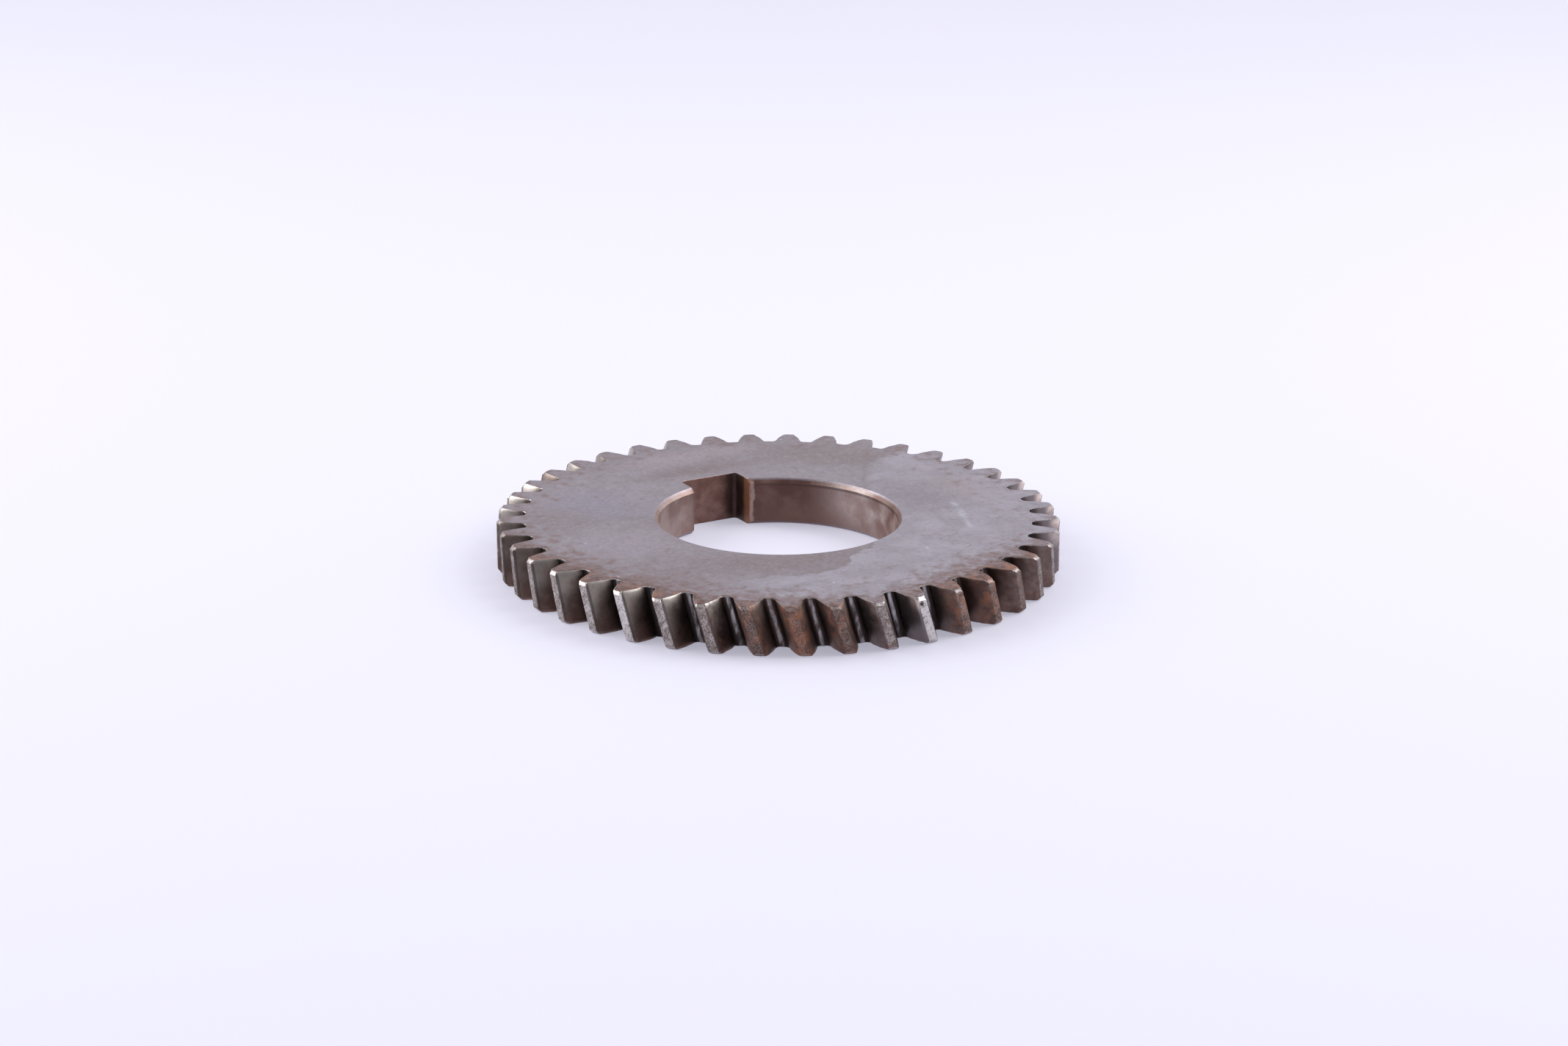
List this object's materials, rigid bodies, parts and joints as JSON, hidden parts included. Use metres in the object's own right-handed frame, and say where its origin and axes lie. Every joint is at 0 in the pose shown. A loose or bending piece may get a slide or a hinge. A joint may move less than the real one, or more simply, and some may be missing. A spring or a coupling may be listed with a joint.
{
  "type": "helical gear",
  "caption": "Narrow left-hand helical gear: a flat steel ring with involute teeth around the rim and a plain chamfered bore with one keyway.",
  "frame": {"origin": "on the bore axis, midway between the two faces", "axes": "+Z along the bore axis, +Y from the axis towards the middle of the keyway, X across the keyway"},
  "size_m": [0.1346, 0.1346, 0.0116],
  "materials": {
    "steel": "bare machined steel, stained, with light rust at the teeth and in the bore"
  },
  "bodies": {
    "root": {"helical_gear": "steel"}
  },
  "joints": []
}
